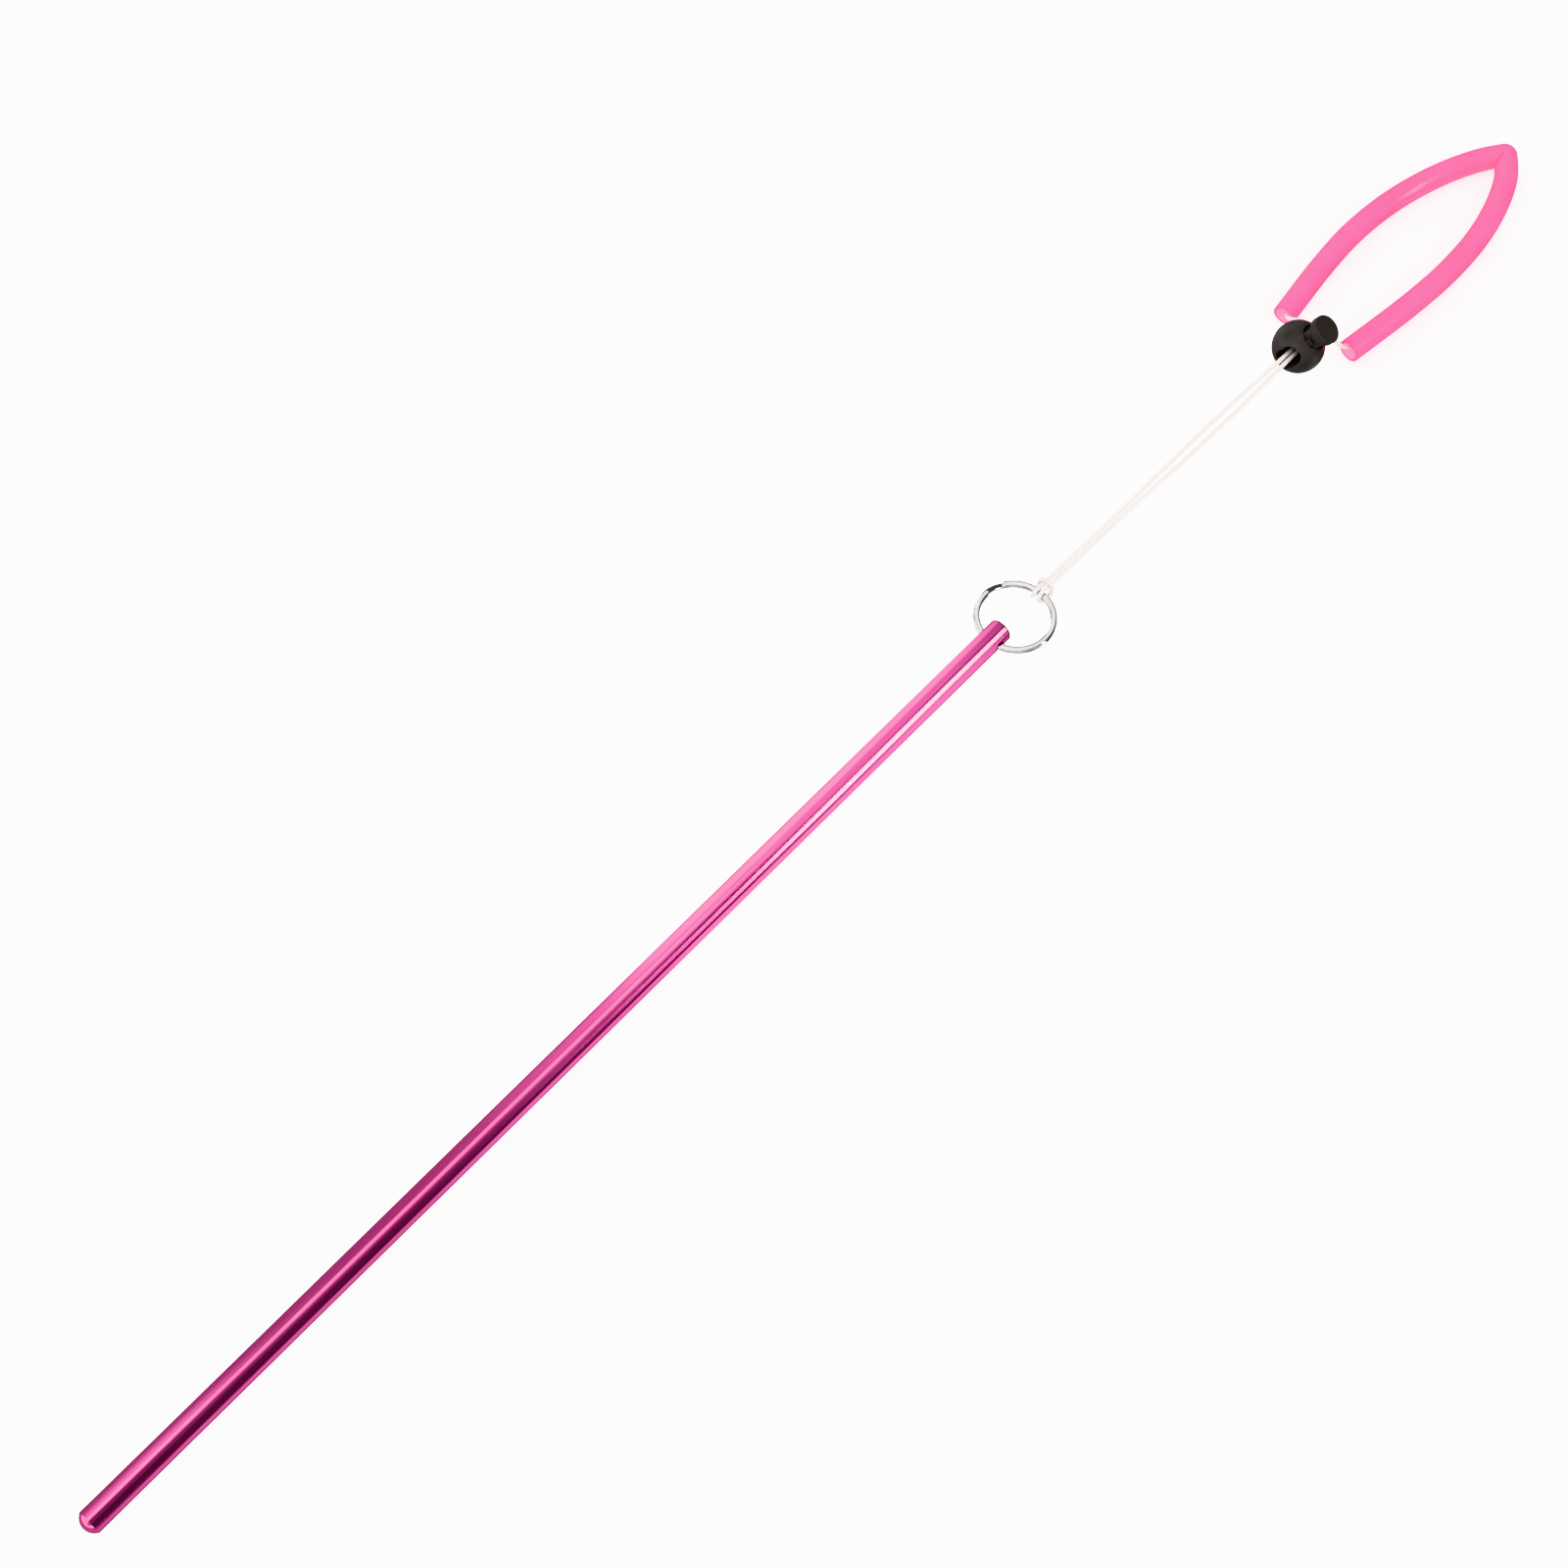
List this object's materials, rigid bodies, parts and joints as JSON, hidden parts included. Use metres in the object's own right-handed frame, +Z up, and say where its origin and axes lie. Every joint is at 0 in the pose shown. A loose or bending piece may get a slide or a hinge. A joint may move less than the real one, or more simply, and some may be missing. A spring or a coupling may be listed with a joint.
{
  "type": "diver's pointer stick",
  "caption": "Diver's pointer stick: a slim metallic pink rod with a split ring, a clear cord, a ball cord lock and a soft tube wrist loop.",
  "frame": {"origin": "middle of the footprint of rod and split ring, on the plane that the stick lies on", "axes": "+X along the rod towards the split ring, +Y across it along the ring's hole, +Z up"},
  "size_m": [0.6549, 0.0425, 0.024],
  "materials": {
    "anodised_rod": "bright anodised, fine drawn lines along the rod",
    "plated_ring": "polished nickel plate",
    "clear_cord": "clear and smooth",
    "lock_plastic": "moulded, satin",
    "spring_wire": "drawn wire",
    "pink_tube": "soft translucent tube"
  },
  "bodies": {
    "stick": {"rod": "anodised_rod"},
    "ring": {"split_ring": "plated_ring"},
    "lanyard": {"cord": "clear_cord", "cord_knot": "clear_cord", "wrist_tube": "pink_tube"},
    "lock": {"cord_lock_body": "lock_plastic", "cord_lock_spring": "spring_wire"},
    "plunger": {"cord_lock_plunger": "lock_plastic"}
  },
  "joints": [
    {"name": "ring_swing", "type": "hinge", "parent": "stick", "child": "ring", "pos_m": [0.17793, 0, 0.004], "axis": [0, -1, 0], "range_deg": [-155, 165]},
    {"name": "hitch_travel", "type": "hinge", "parent": "ring", "child": "lanyard", "pos_m": [0.19009, 0, 0.00314], "axis": [0.042, 0, 0.9991], "range_deg": [-130, 130]},
    {"name": "lock_slide", "type": "slide", "parent": "lanyard", "child": "lock", "axis": [-0.9985, 0.0329, -0.0435], "range_m": [0, 0.1]},
    {"name": "plunger_press", "type": "slide", "parent": "lock", "child": "plunger", "axis": [-0.2573, 0.4552, -0.8524], "range_m": [0, 0.0032], "stiffness_N_per_m": 900, "springref_m": -0.0025, "deforming": ["cord_lock_spring"]}
  ]
}
